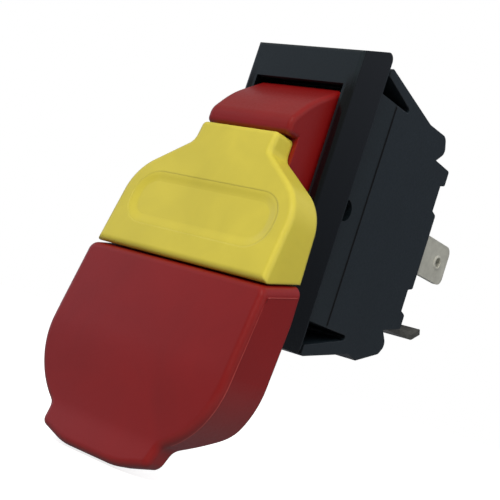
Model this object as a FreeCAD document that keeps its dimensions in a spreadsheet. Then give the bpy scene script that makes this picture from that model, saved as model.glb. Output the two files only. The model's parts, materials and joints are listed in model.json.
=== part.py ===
import FreeCAD, Part
import math
import os

import Sketcher

# Lift-to-start, press-to-stop paddle switch for a machine panel, with a pull-out lock key.
# Millimetres. +X to the right of the panel, +Y into the panel, +Z up.
# The origin is the centre of the bezel's seat on the panel.

DIMENSIONS = {
    # Bezel frame: a deep flange on the panel and a skirt through the cut-out.
    "bezel_width": 18.3,
    "bezel_depth": 6.9,
    "bezel_top_front": 19.8,
    "bezel_top_back": 22.5,
    "bezel_bottom": 20.7,
    "bezel_edge": 0.5,
    "bezel_corner": 1.0,
    "window_top": 15.0,
    "window_bottom": 15.0,
    "window_lip": 1.0,
    "ledge_setback": 1.0,
    "skirt_width": 15.9,
    "skirt_depth": 6.0,
    "skirt_top": 17.1,
    "skirt_bottom": 15.9,
    "end_wall": 1.4,
    # Clearances.
    "running_gap": 0.3,
    "slide_gap": 0.1,
    "fit_gap": 0.05,
    "joint_gap": 0.25,
    "seam_bevel": 0.15,
    # Pivot of the rocker.
    "pivot_depth": 1.7,
    "pin_diameter": 3.0,
    "pin_recess": 0.75,
    "pin_bevel": 0.3,
    # Contact base behind the bezel.
    "base_depth": 19.15,
    "cavity_depth": 13.7,
    "back_top": 13.75,
    "back_bottom": 11.8,
    "back_groove": 1.2,
    "pad_height": 2.4,
    "centre_pad_top": 6.5,
    "centre_pad_bottom": 5.4,
    "lower_pad_height": 2.2,
    "lobe_depth": 16.4,
    "lobe_reach": 18.0,
    "lobe_lip": 2.0,
    "lobe_round": 1.2,
    "lower_lobe_reach": 16.6,
    "notch_depth": 14.5,
    "step_round": 0.4,
    "spigot_length": 2.6,
    "spigot_width": 9.0,
    "spigot_thickness": 1.2,
    "barrier_thickness": 1.2,
    "barrier_depth": 5.7,
    # Snap wings at both ends of the base.
    "wing_tip_depth": 2.2,
    "wing_reach": 21.2,
    "wing_tip_thickness": 1.35,
    "wing_root_depth": 11.8,
    "wing_heel_depth": 16.0,
    "wing_heel_reach": 18.0,
    "wing_heel_round": 2.0,
    "lower_wing_reach": 20.8,
    "lower_wing_thickness": 1.6,
    "lower_wing_root": 13.8,
    "wing_foot_depth": 15.6,
    "wing_foot_reach": 18.75,
    "wing_foot_slope": 2.2,
    "wing_foot_step": 0.55,
    # Rocker moulding: hood, hub and plunger guides.
    "rocker_width": 14.4,
    "hub_width": 12.8,
    "hub_top": 11.0,
    "hub_bottom": 13.5,
    "hub_heel": 9.5,
    "hub_round": 2.0,
    "key_plane": 11.9,
    "hood_lip_reach": 14.2,
    "hood_lip_height": 5.15,
    "hood_nose_height": 7.2,
    "hood_crown_reach": 11.3,
    "hood_crown_height": 10.6,
    "hood_tail_reach": 5.9,
    "hood_tail_height": 14.3,
    "hood_nose_radius": 2.2,
    "hood_crown_radius": 16.0,
    "hood_lip_radius": 0.8,
    "hood_edge": 0.7,
    "rocker_bottom": 14.2,
    "gusset_bottom": 18.0,
    "gusset_round": 1.0,
    "lift_angle": 18.0,
    "guide_length": 11.0,
    "guide_radius": 2.0,
    "guide_bore_start": 4.6,
    # Paddle below the key.
    "paddle_top_width": 30.9,
    "paddle_width": 31.6,
    "joint_reach": 19.3,
    "joint_height": 14.9,
    "paddle_tip_reach": 22.8,
    "paddle_back": 12.5,
    "paddle_tip_back": 15.2,
    "paddle_bottom": 40.2,
    "paddle_shoulder_drop": 8.0,
    "paddle_round": 11.4,
    "paddle_corner": 1.3,
    "tongue_width": 19.0,
    "tongue_corner_drop": 1.3,
    "tongue_length": 3.8,
    "tongue_round": 1.2,
    "tongue_thickness": 3.0,
    "tongue_tip_thickness": 2.2,
    "tongue_root_round": 3.0,
    "tongue_root_drop": 7.3,
    "paddle_wall": 1.8,
    "paddle_rib": 1.4,
    "paddle_bay_round": 4.0,
    "paddle_edge": 0.9,
    "joint_angle": 13.4,
    # Lock key.
    "key_top_reach": 15.4,
    "key_top_height": 4.9,
    "key_neck_width": 13.2,
    "key_neck_height": 1.9,
    "key_neck_radius": 1.4,
    "key_shoulder_width": 28.7,
    "key_shoulder_height": 3.6,
    "key_shoulder_radius": 6.5,
    "key_width": 29.4,
    "key_edge": 0.75,
    "key_panel_width": 24.4,
    "key_panel_height": 7.6,
    "key_panel_drop": 7.1,
    "key_panel_depth": 0.25,
    "blade_width": 3.6,
    "blade_bottom": 8.0,
    "blade_top": 3.5,
    "blade_length": 16.5,
    "blade_round": 0.6,
    "cam_slope": 0.14,
    # Lock bolt and its spring.
    "bolt_centre": 4.0,
    "bolt_thickness": 2.2,
    "bolt_width": 5.8,
    "bolt_bottom": 13.9,
    "bolt_bar": 1.4,
    "bolt_bevel": 0.3,
    "key_travel": 18.0,
    "lock_spring_length": 4.4,
    "lock_spring_radius": 1.1,
    "clip_length": 5.0,
    "clip_width": 3.0,
    "clip_thickness": 0.35,
    # Two poles: plungers, arms, contacts and terminals.
    "pole_offset": 4.4,
    "plunger_radius": 1.4,
    "plunger_nose": 0.8,
    "plunger_reach": 16.3,
    "plunger_length": 9.4,
    "spring_wire": 0.4,
    "arm_thickness": 0.8,
    "arm_width": 3.8,
    "arm_upper": 8.5,
    "arm_stop_height": 2.2,
    "arm_lower": 11.4,
    "arm_angle": 13.5,
    "fulcrum_radius": 0.5,
    "contact_drop": 9.4,
    "contact_radius": 1.5,
    "contact_height": 0.6,
    "contact_gap": 0.15,
    "shank_radius": 0.7,
    "tab_thickness": 0.8,
    "tab_width": 6.3,
    "tab_length": 8.8,
    "tab_rise": 0.35,
    "tab_inset": 0.95,
    "tab_hole_radius": 0.75,
    "tab_hole_setback": 3.1,
    "tab_chamfer": 1.3,
    "load_tab_width": 4.8,
    "load_tab_edge": 7.2,
    "load_tab_length": 7.6,
    "load_tab_drop": 12.2,
    "load_tab_angle": 32.0,
    "load_tab_tip": 2.2,
}


class Size:
    """A length with its value and the sheet formula that gives it."""

    def __init__(self, value, formula):
        self.value = float(value)
        self.formula = formula

    def __add__(self, other):
        other = as_size(other)
        return Size(self.value + other.value, f"({self.formula} + {other.formula})")

    def __sub__(self, other):
        other = as_size(other)
        return Size(self.value - other.value, f"({self.formula} - {other.formula})")

    def __mul__(self, other):
        other = as_size(other)
        return Size(self.value * other.value, f"({self.formula} * {other.formula})")

    def __truediv__(self, other):
        other = as_size(other)
        return Size(self.value / other.value, f"({self.formula} / {other.formula})")

    def __neg__(self):
        return Size(-self.value, f"(0 - {self.formula})")

    def __radd__(self, other):
        return as_size(other) + self

    def __rsub__(self, other):
        return as_size(other) - self

    def __rmul__(self, other):
        return as_size(other) * self


def as_size(number):
    """A Size of its own, or a plain number as one."""
    if isinstance(number, Size):
        return number
    return Size(number, f"{number:.6f}")


def sine(degrees):
    degrees = as_size(degrees)
    return Size(math.sin(math.radians(degrees.value)), f"sin({degrees.formula} * 1 deg)")


def cosine(degrees):
    degrees = as_size(degrees)
    return Size(math.cos(math.radians(degrees.value)), f"cos({degrees.formula} * 1 deg)")


def tangent(degrees):
    degrees = as_size(degrees)
    return Size(math.tan(math.radians(degrees.value)), f"tan({degrees.formula} * 1 deg)")


class Dimensions:
    """The driving dimensions, one attribute for each row of the sheet."""

    def __init__(self, sheet, table):
        for row, (alias, value) in enumerate(table.items(), start=1):
            sheet.set(f"A{row}", alias)
            sheet.set(f"B{row}", str(value))
            sheet.setAlias(f"B{row}", alias)
            setattr(self, alias, Size(value, f"{sheet.Name}.{alias}"))


doc = FreeCAD.newDocument("PaddleSwitch")
d = Dimensions(doc.addObject("Spreadsheet::Sheet", "Sizes"), DIMENSIONS)
doc.recompute()

OVERLAP = 1.0
SIDES = {"left": -1, "right": 1}
NORMAL_SIGN = {"XY_Plane": 1, "XZ_Plane": -1, "YZ_Plane": 1}


def new_body(name):
    body = doc.addObject("PartDesign::Body", name)
    body.Label = name
    return body


def bind(thing, path, size):
    """Ties one property of an object to the sheet."""
    thing.setExpression(path, as_size(size).formula)


def new_sketch(body, plane, offset, turn=None, about=(0, 0)):
    """A sketch on an origin plane, moved along its normal, or turned about X round a point (y, z)."""
    sketch = body.newObject("Sketcher::SketchObject", f"{body.Name}_outline")
    support = [f for f in body.Origin.OriginFeatures if f.Role == plane][0]
    sketch.AttachmentSupport = [(support, "")]
    sketch.MapMode = "FlatFace"
    offset = as_size(offset)
    if turn is None:
        bind(sketch, "AttachmentOffset.Base.z", offset)
        return sketch
    centre_y, centre_z = (as_size(c) for c in about)
    base = FreeCAD.Vector(0, 0, 0)
    turned = FreeCAD.Rotation(FreeCAD.Vector(1, 0, 0), as_size(turn).value)
    sketch.AttachmentOffset = FreeCAD.Placement(base, turned)
    bind(sketch, "AttachmentOffset.Rotation.Angle", turn)
    bind(sketch, "AttachmentOffset.Base.y", centre_z - offset * sine(turn))
    bind(sketch, "AttachmentOffset.Base.z", offset * cosine(turn) - centre_y)
    return sketch


def pin_point(sketch, geometry, position, x, y):
    """Holds one point of a sketch at sheet-driven coordinates."""
    for kind, size in (("DistanceX", x), ("DistanceY", y)):
        number = sketch.addConstraint(
            Sketcher.Constraint(kind, -1, 1, geometry, position, size.value)
        )
        bind(sketch, f"Constraints[{number}]", size)


def draw_circle(sketch, x, y, radius):
    x, y, radius = as_size(x), as_size(y), as_size(radius)
    centre = FreeCAD.Vector(x.value, y.value, 0)
    ring = sketch.addGeometry(Part.Circle(centre, FreeCAD.Vector(0, 0, 1), radius.value))
    pin_point(sketch, ring, 3, x, y)
    number = sketch.addConstraint(Sketcher.Constraint("Radius", ring, radius.value))
    bind(sketch, f"Constraints[{number}]", radius)


def corner_arc(before, corner, after, radius):
    """The arc that rounds a corner, with its two ends in the order of travel."""
    back = (before - corner).normalize()
    ahead = (after - corner).normalize()
    half = back.getAngle(ahead) / 2
    reach = radius / math.tan(half)
    start = corner + back * reach
    end = corner + ahead * reach
    middle = corner + (back + ahead).normalize() * (radius / math.sin(half) - radius)
    return start, end, Part.Arc(start, middle, end)


def draw_outline(sketch, corners):
    """A closed outline. A corner is (x, y), or (x, y, radius) where it is rounded."""
    corners = [tuple(as_size(c) for c in corner) for corner in corners]
    points = [FreeCAD.Vector(c[0].value, c[1].value, 0) for c in corners]
    count = len(corners)
    starts, ends, arcs = list(points), list(points), {}
    for i, corner in enumerate(corners):
        if len(corner) == 3:
            ends[i], starts[i], arcs[i] = corner_arc(
                points[i - 1], points[i], points[(i + 1) % count], corner[2].value
            )
    lines = [
        sketch.addGeometry(Part.LineSegment(starts[i], ends[(i + 1) % count]))
        for i in range(count)
    ]
    for i, corner in enumerate(corners):
        coming, going = lines[i - 1], lines[i]
        if i not in arcs:
            sketch.addConstraint(Sketcher.Constraint("Coincident", coming, 2, going, 1))
            pin_point(sketch, going, 1, corner[0], corner[1])
            continue
        arc = sketch.addGeometry(arcs[i])
        turns_left = (points[i] - points[i - 1]).cross(points[(i + 1) % count] - points[i]).z > 0
        first, last = (1, 2) if turns_left else (2, 1)
        mark = sketch.addGeometry(Part.Point(points[i]), True)
        pin_point(sketch, mark, 1, corner[0], corner[1])
        sketch.addConstraint(Sketcher.Constraint("PointOnObject", mark, 1, coming))
        sketch.addConstraint(Sketcher.Constraint("PointOnObject", mark, 1, going))
        sketch.addConstraint(Sketcher.Constraint("Tangent", coming, 2, arc, first))
        sketch.addConstraint(Sketcher.Constraint("Tangent", going, 1, arc, last))
        number = sketch.addConstraint(Sketcher.Constraint("Radius", arc, corner[2].value))
        bind(sketch, f"Constraints[{number}]", corner[2])


def extrude(body, kind, plane, shape, low, high, turn=None, about=(0, 0)):
    """A Pad or Pocket between two places along the plane's world axis. shape draws the sketch."""
    low, high = as_size(low), as_size(high)
    towards_high = (NORMAL_SIGN[plane] > 0) == (kind == "Pad")
    start = low if towards_high else high
    sketch = new_sketch(body, plane, start * NORMAL_SIGN[plane], turn, about)
    shape(sketch)
    before = body.Shape.Volume if body.Tip else 0.0
    feature = body.newObject(f"PartDesign::{kind}", f"{body.Name}_{kind.lower()}")
    feature.Profile = sketch
    bind(feature, "Length", high - low)
    doc.recompute()
    change = feature.Shape.Volume - before
    if (change > 0) != (kind == "Pad"):
        raise RuntimeError(f"{feature.Name} of {body.Label} changed the volume by {change:.3f}")
    return feature


def outline(*corners):
    return lambda sketch: draw_outline(sketch, corners)


def rectangle(x_low, y_low, x_high, y_high):
    return outline((x_low, y_low), (x_high, y_low), (x_high, y_high), (x_low, y_high))


def circle(x, y, radius):
    return lambda sketch: draw_circle(sketch, x, y, radius)


def mirrored(*half):
    """A full outline from its right half, listed from top to bottom."""
    other = [(-as_size(c[0]), *c[1:]) for c in reversed(half)]
    return outline(*half, *other)


def across(body, kind, shape, width):
    """A side profile in the YZ plane, extruded equally to both sides."""
    return extrude(body, kind, "YZ_Plane", shape, -as_size(width) / 2, as_size(width) / 2)


def dress_edges(body, kind, size, chosen):
    """A Fillet or Chamfer on the edges that chosen(edge) picks."""
    base = body.Tip
    names = [f"Edge{n}" for n, edge in enumerate(base.Shape.Edges, start=1) if chosen(edge)]
    if not names:
        raise RuntimeError(f"{body.Label} has no such edge to dress")
    feature = body.newObject(f"PartDesign::{kind}", f"{body.Name}_{kind.lower()}")
    feature.Base = (base, names)
    bind(feature, "Radius" if kind == "Fillet" else "Size", size)
    doc.recompute()
    return feature


def round_edges(body, radius, chosen):
    return dress_edges(body, "Fillet", radius, chosen)


def bevel_edges(body, size, chosen):
    return dress_edges(body, "Chamfer", size, chosen)


def lies_in(edge, inside):
    """Whether both ends and the middle of an edge pass a test of their places."""
    first, last = edge.ParameterRange
    return all(inside(edge.valueAt(p)) for p in (first, (first + last) / 2, last))


def near(value, size):
    return abs(value - as_size(size).value) < 0.02


half_window = d.rocker_width / 2 + d.running_gap
half_passage = d.hub_width / 2 + d.running_gap
pin_bore = d.pin_diameter / 2 + d.fit_gap
seam = d.skirt_depth
base_back = seam + d.base_depth
cavity_floor = seam + d.cavity_depth
cavity_top = d.skirt_top - d.end_wall
cavity_bottom = d.skirt_bottom - d.end_wall
plunger_tilt = d.lift_angle / 2
tab_offset = d.skirt_width / 2 - d.tab_inset
tab_top = d.tab_rise + d.tab_width / 2
tab_bottom = d.tab_rise - d.tab_width / 2
bolt_front = -d.bolt_centre - d.bolt_thickness / 2
bolt_back = -d.bolt_centre + d.bolt_thickness / 2
bolt_travel = d.key_travel * d.cam_slope
paddle_shoulder = d.paddle_bottom - d.paddle_shoulder_drop
tongue_corner = d.paddle_bottom - d.tongue_corner_drop
tongue_notch = d.paddle_bottom - d.tongue_length
tongue_root = d.paddle_bottom - d.tongue_root_drop


def bezel_frame():
    body = new_body("bezel_frame")
    flange = outline(
        (-d.bezel_depth, -d.bezel_bottom),
        (0, -d.bezel_bottom, d.bezel_corner),
        (0, d.bezel_top_back, d.bezel_corner),
        (-d.bezel_depth, d.bezel_top_front),
    )
    across(body, "Pad", flange, d.bezel_width)
    skirt = rectangle(-d.bezel_depth / 2, -d.skirt_bottom, d.skirt_depth, d.skirt_top)
    across(body, "Pad", skirt, d.skirt_width)
    relief_start = d.window_lip - d.bezel_depth
    relief_height = d.window_top + d.end_wall
    window = outline(
        (-d.bezel_depth - OVERLAP, -d.window_bottom),
        (-d.ledge_setback, -d.window_bottom),
        (-d.ledge_setback, relief_height),
        (relief_start + d.end_wall, relief_height),
        (relief_start, d.window_top),
        (-d.bezel_depth - OVERLAP, d.window_top),
    )
    across(body, "Pocket", window, half_window * 2)
    passage = rectangle(-d.bezel_depth / 2, -cavity_bottom, d.skirt_depth + OVERLAP, cavity_top)
    across(body, "Pocket", passage, half_passage * 2)
    across(body, "Pocket", circle(d.pivot_depth, 0, pin_bore), d.skirt_width + OVERLAP)
    half_bolt = d.bolt_width / 2 + d.running_gap
    keeper = rectangle(
        -half_bolt,
        bolt_front - d.running_gap,
        half_bolt,
        bolt_back + d.running_gap,
    )
    keeper_depth = d.bolt_bottom + bolt_travel + d.running_gap
    extrude(body, "Pocket", "XY_Plane", keeper, -keeper_depth, OVERLAP - d.window_bottom)
    front = -d.bezel_depth
    half_width = d.bezel_width / 2

    def is_outer_front(edge):
        on_front = lies_in(edge, lambda p: near(p.y, front))
        return on_front and (
            lies_in(edge, lambda p: near(abs(p.x), half_width))
            or lies_in(edge, lambda p: near(p.z, d.bezel_top_front))
            or lies_in(edge, lambda p: near(p.z, -d.bezel_bottom))
        )

    round_edges(body, d.bezel_edge, is_outer_front)
    bevel_edges(body, d.seam_bevel, is_seam_edge)
    return body


def is_seam_edge(edge):
    """Whether an edge runs along the seam between skirt and base on either side."""
    half_skirt = d.skirt_width / 2
    return lies_in(edge, lambda p: near(p.y, seam) and near(abs(p.x), half_skirt))


def base_profile():
    """The base's outline seen from the side, with its snap wings and the stepped back."""
    groove = base_back - d.back_groove
    lobe_back = seam + d.lobe_depth
    notch = seam + d.notch_depth
    lobe_round = d.lobe_round
    step_round = d.step_round
    foot_start = d.wing_foot_depth - d.wing_foot_slope
    wing_inner = d.wing_reach - d.wing_tip_thickness
    lower_inner = d.lower_wing_reach - d.lower_wing_thickness
    upper_end = [
        (seam, d.skirt_top),
        (d.wing_root_depth, d.skirt_top, step_round),
        (d.wing_tip_depth, wing_inner),
        (d.wing_tip_depth, d.wing_reach, step_round),
        (d.wing_heel_depth, d.wing_heel_reach, d.wing_heel_round),
        (lobe_back - lobe_round, d.lobe_reach, lobe_round),
        (lobe_back, d.back_top + d.lobe_lip, lobe_round),
        (notch, d.back_top + step_round / 2),
    ]
    back = [
        (base_back, d.back_top, step_round),
        (base_back, d.back_top - d.pad_height, step_round),
        (groove, d.back_top - d.pad_height - step_round),
        (groove, d.centre_pad_top + step_round),
        (base_back, d.centre_pad_top, step_round),
        (base_back, -d.centre_pad_bottom, step_round),
        (groove, -d.centre_pad_bottom - step_round),
        (groove, -d.back_bottom + d.lower_pad_height + step_round),
        (base_back, -d.back_bottom + d.lower_pad_height, step_round),
        (base_back, -d.back_bottom, step_round),
    ]
    lower_end = [
        (notch, -d.load_tab_drop - d.tab_thickness),
        (lobe_back, -d.back_top - lobe_round, lobe_round),
        (lobe_back - lobe_round, -d.lower_lobe_reach, lobe_round),
        (d.wing_foot_depth, -d.wing_foot_reach, step_round),
        (foot_start, d.wing_foot_step - d.wing_foot_reach, step_round),
        (d.wing_tip_depth, -d.lower_wing_reach, step_round),
        (d.wing_tip_depth, -lower_inner),
        (d.lower_wing_root, -d.skirt_bottom, step_round),
        (seam, -d.skirt_bottom),
    ]
    return outline(*upper_end, *back, *lower_end)


def contact_base():
    body = new_body("contact_base")
    across(body, "Pad", base_profile(), d.skirt_width)
    bevel_edges(body, d.seam_bevel, is_seam_edge)
    cavity = rectangle(seam - OVERLAP, -cavity_bottom, cavity_floor, cavity_top)
    across(body, "Pocket", cavity, half_passage * 2)
    barrier = rectangle(
        cavity_floor - d.barrier_depth,
        -cavity_bottom - d.end_wall / 2,
        cavity_floor + OVERLAP,
        cavity_top + d.end_wall / 2,
    )
    across(body, "Pad", barrier, d.barrier_thickness)
    for end, inner in ((1, cavity_top), (-1, cavity_bottom)):
        outer = inner - d.fit_gap
        tongue = [
            (seam - d.spigot_length, end * outer),
            (seam, end * outer),
            (seam, end * (inner + d.end_wall / 2)),
            (seam + d.spigot_length, end * (inner + d.end_wall / 2)),
            (seam + d.spigot_length, end * (outer - d.spigot_thickness)),
            (seam - d.spigot_length, end * (outer - d.spigot_thickness)),
        ]
        across(body, "Pad", outline(*tongue), d.spigot_width)
    half_arm = d.arm_width / 2
    stop_height = d.fulcrum_radius - d.fit_gap
    for side in SIDES.values():
        centre = d.pole_offset * side
        stop = rectangle(centre - half_arm, d.arm_upper - d.arm_stop_height, centre + half_arm, d.arm_upper)
        extrude(body, "Pad", "XZ_Plane", stop, cavity_floor - stop_height, cavity_floor + OVERLAP)
        seats = (
            (line_shelf(side, d.fit_gap), d.tab_thickness),
            (load_shelf(side, d.fit_gap), d.tab_thickness * 2),
        )
        for seat, depth in seats:
            floor = cavity_floor + depth + d.fit_gap
            extrude(body, "Pocket", "XZ_Plane", rectangle(*seat), cavity_floor - OVERLAP, floor)
        slots = (line_slot(side, d.fit_gap), load_slot(side, d.fit_gap))
        for slot in slots:
            through = base_back + OVERLAP
            extrude(body, "Pocket", "XZ_Plane", rectangle(*slot), cavity_floor, through)
    return body


def ordered(side, inner, outer):
    """The low and high X of a span given by its distances from the middle."""
    return (inner * side, outer * side) if side > 0 else (outer * side, inner * side)


def line_shelf(side, gap):
    """Front view of the shelf inside a line terminal, grown by a gap all round."""
    inner = d.pole_offset - d.arm_width / 2 - gap
    outer = tab_offset + d.tab_thickness / 2 + gap
    low, high = ordered(side, inner, outer)
    return low, tab_bottom - gap, high, tab_top + gap


def line_slot(side, gap):
    """Front view of the tab of a line terminal, standing upright beside the side wall."""
    half = d.tab_thickness / 2 + gap
    low, high = ordered(side, tab_offset - half, tab_offset + half)
    return low, tab_bottom - gap, high, tab_top + gap


def load_shelf(side, gap):
    """Front view of the shelf under the fixed contact of a load terminal."""
    inner = d.load_tab_edge - d.load_tab_width - gap
    low, high = ordered(side, inner, d.load_tab_edge + gap)
    top = -d.contact_drop + d.contact_radius + gap
    return low, -d.load_tab_drop - d.tab_thickness / 2 - gap, high, top


def load_slot(side, gap):
    """Front view of the tab of a load terminal, lying flat near the lower end."""
    inner = d.load_tab_edge - d.load_tab_width - gap
    low, high = ordered(side, inner, d.load_tab_edge + gap)
    half = d.tab_thickness / 2 + gap
    return low, -d.load_tab_drop - half, high, half - d.load_tab_drop


def pivot_pin():
    body = new_body("pivot_pin")
    length = d.skirt_width - d.pin_recess * 2
    across(body, "Pad", circle(d.pivot_depth, 0, d.pin_diameter / 2), length)
    end = length / 2
    bevel_edges(body, d.pin_bevel, lambda edge: lies_in(edge, lambda p: near(abs(p.x), end)))
    return body


def joint_line(reach, gap):
    """Height of the sloped joint between key and paddle at a depth in front of the seat."""
    return (d.joint_reach - reach) * tangent(d.joint_angle) - d.joint_height + gap


def front_line(height):
    """Depth of the paddle's front face at a height below the joint."""
    lean = (d.paddle_tip_reach - d.joint_reach) / (d.paddle_bottom - d.joint_height)
    return -d.joint_reach - (height - d.joint_height) * lean


def paddle_side(height):
    """Half the paddle's width at a height below the pivot, flaring from the joint to the shoulder."""
    flare = (d.paddle_width - d.paddle_top_width) / (paddle_shoulder - d.joint_height) / 2
    return d.paddle_top_width / 2 + (height - d.joint_height) * flare


def paddle_outline():
    """Right half of the paddle seen from the front, with the finger tongue at its lower end."""
    half_tongue = d.tongue_width / 2
    top = d.joint_height / 2
    return [
        (paddle_side(top), -top),
        (d.paddle_width / 2, -paddle_shoulder, d.paddle_round),
        (half_tongue + d.tongue_round / 4, -tongue_notch, d.tongue_round),
        (half_tongue, -tongue_corner, d.tongue_round),
        (half_tongue / 2, -d.paddle_bottom, d.tongue_round * 8),
    ]


def rocker():
    body = new_body("rocker")
    far = d.paddle_tip_reach + OVERLAP * 3
    back = -d.paddle_back
    full_width = d.paddle_width + d.paddle_top_width
    extrude(body, "Pad", "XZ_Plane", mirrored(*paddle_outline()), -far, back)
    low = d.paddle_bottom + OVERLAP
    in_front = outline(
        (front_line(low), -low),
        (front_line(0), 0),
        (-far - OVERLAP, 0),
        (-far - OVERLAP, -low),
    )
    across(body, "Pocket", in_front, full_width)
    over = outline(
        (-far - OVERLAP, joint_line(far + OVERLAP, 0)),
        (back + OVERLAP, joint_line(-back - OVERLAP, 0)),
        (back + OVERLAP, 0),
        (-far - OVERLAP, 0),
    )
    across(body, "Pocket", over, full_width)
    back_lean = (d.paddle_tip_back - d.paddle_back) / (d.paddle_bottom - d.gusset_bottom)
    root_depth = back - back_lean * (tongue_root - d.gusset_bottom)
    behind = outline(
        (back, -d.gusset_bottom),
        (root_depth, -tongue_root, d.tongue_root_round),
        (front_line(tongue_notch) + d.tongue_thickness, -tongue_notch, d.tongue_root_round),
        (front_line(low) + d.tongue_tip_thickness, -low),
        (back + OVERLAP, -low),
        (back + OVERLAP, -d.gusset_bottom),
    )
    across(body, "Pocket", behind, full_width)
    round_paddle(body)
    hollow_paddle(body)
    add_hood_and_hub(body)
    cut_rocker_seats(body)
    return body


def round_paddle(body):
    def is_top_corner(edge):
        on_side = lies_in(edge, lambda p: near(abs(p.x), paddle_side(-p.z)))
        return on_side and lies_in(edge, lambda p: near(p.z, joint_line(-p.y, 0)))

    round_edges(body, d.paddle_corner, is_top_corner)

    def is_front(edge):
        return lies_in(edge, lambda p: near(p.y, front_line(-p.z)))

    round_edges(body, d.paddle_edge, is_front)


def hollow_paddle(body):
    """The hollow back of the paddle, with stiffening ribs left standing between three bays."""
    rib = d.paddle_rib
    bay_top = -d.gusset_bottom - d.paddle_wall
    floor = -d.joint_reach + d.paddle_wall
    half_middle = d.hub_width / 2
    outer = d.paddle_top_width / 2 - d.paddle_wall
    side_bottom = -paddle_shoulder + d.paddle_wall
    middle = rectangle(
        -half_middle,
        d.paddle_wall - tongue_root,
        half_middle,
        bay_top,
    )
    extrude(body, "Pocket", "XZ_Plane", middle, floor, OVERLAP - d.paddle_back)
    for side in SIDES.values():
        bay = outline(
            ((half_middle + rib) * side, bay_top),
            (outer * side, bay_top),
            (outer * side, side_bottom, d.paddle_bay_round),
            ((half_middle + rib) * side, side_bottom - rib),
        )
        extrude(body, "Pocket", "XZ_Plane", bay, floor, OVERLAP - d.paddle_back)


def add_hood_and_hub(body):
    back = -d.key_plane
    clear_back = d.ledge_setback + d.running_gap * 1.5
    tail_back = (d.pivot_depth + clear_back + d.hood_tail_height * sine(d.lift_angle)) / cosine(
        d.lift_angle
    ) - d.pivot_depth
    tail = d.hood_tail_height - d.running_gap
    block = outline(
        (back - OVERLAP, -d.gusset_bottom),
        (back + d.bezel_depth / 2, -d.gusset_bottom, d.gusset_round),
        (-d.bezel_depth - d.running_gap * 2, -d.rocker_bottom),
        (-clear_back, -d.rocker_bottom),
        (-clear_back, 0),
        (-tail_back, tail),
        (-d.hood_tail_reach, d.hood_tail_height),
        (-d.hood_crown_reach, d.hood_crown_height, d.hood_crown_radius),
        (-d.hood_lip_reach, d.hood_nose_height, d.hood_nose_radius),
        (-d.hood_lip_reach, d.hood_lip_height, d.hood_lip_radius),
        (back, d.hood_lip_height),
        (back, joint_line(d.key_plane, 0) - OVERLAP / 4),
        (back - OVERLAP, joint_line(d.key_plane, 0) - OVERLAP),
    )
    across(body, "Pad", block, d.rocker_width)
    half_width = d.rocker_width / 2

    def is_hood_side(edge):
        on_side = lies_in(edge, lambda p: near(abs(p.x), half_width))
        above_lip = lies_in(edge, lambda p: p.z > d.hood_lip_height.value - 0.02)
        at_tail = lies_in(edge, lambda p: p.z > tail.value - 0.02)
        return on_side and above_lip and not at_tail

    round_edges(body, d.hood_edge, is_hood_side)
    hub_back = d.pivot_depth + d.pin_diameter + d.fit_gap * 6
    hub = outline(
        (back / 2, -d.hub_bottom),
        (-clear_back, -d.hub_bottom),
        (hub_back, -d.hub_heel, d.hub_round / 2),
        (hub_back, d.pin_diameter, d.hub_round),
        (-d.ledge_setback * 4, d.hub_top),
        (back / 2, d.hub_top),
    )
    across(body, "Pad", hub, d.hub_width)
    pivot = (d.pivot_depth, 0)
    for side in SIDES.values():
        guide = circle(d.pole_offset * side, 0, d.guide_radius)
        extrude(body, "Pad", "XZ_Plane", guide, d.guide_radius, d.guide_length, plunger_tilt, pivot)


def cut_rocker_seats(body):
    """The pivot bore, plunger bores, key slot, bolt slot, spring seat and clip recess."""
    across(body, "Pocket", circle(d.pivot_depth, 0, pin_bore), d.rocker_width + OVERLAP)
    pivot = (d.pivot_depth, 0)
    for side in SIDES.values():
        bore = circle(d.pole_offset * side, 0, d.plunger_radius + d.fit_gap)
        far = d.guide_length + OVERLAP
        extrude(body, "Pocket", "XZ_Plane", bore, d.guide_bore_start, far, plunger_tilt, pivot)
    half_slot = d.blade_width / 2 + d.slide_gap
    slot = rectangle(
        -half_slot,
        -d.blade_bottom - d.slide_gap,
        half_slot,
        blade_top(-d.key_plane - OVERLAP) + d.slide_gap,
    )
    extrude(body, "Pocket", "XZ_Plane", slot, -d.key_plane - OVERLAP, d.blade_length)
    half_bolt = d.bolt_width / 2 + d.slide_gap
    bolt_slot = rectangle(-half_bolt, bolt_front - d.slide_gap, half_bolt, bolt_back + d.slide_gap)
    seat = bolt_top() + d.slide_gap
    extrude(body, "Pocket", "XY_Plane", bolt_slot, -d.gusset_bottom, seat)
    coil_room = d.lock_spring_radius + d.spring_wire / 2 + d.slide_gap
    spring_seat = circle(0, -d.bolt_centre, coil_room)
    top = bolt_top() + d.lock_spring_length
    extrude(body, "Pocket", "XY_Plane", spring_seat, seat - OVERLAP / 2, top)
    half_clip = d.clip_width / 2 + d.slide_gap
    recess = rectangle(
        -half_clip,
        -d.blade_bottom - d.slide_gap * 2 - d.clip_thickness,
        half_clip,
        -d.blade_bottom,
    )
    start = -d.key_plane + OVERLAP
    extrude(body, "Pocket", "XZ_Plane", recess, start, start + d.clip_length + d.slide_gap)


def blade_top(depth):
    """Height of the key blade's cam edge at a depth, falling towards the tip."""
    return -d.blade_top - (depth + d.bolt_centre) * d.cam_slope


def follower_height():
    """Underside of the bolt's bar, resting on the cam edge."""
    return blade_top(bolt_front) + d.fit_gap


def bolt_top():
    return follower_height() + d.bolt_bar


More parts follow.
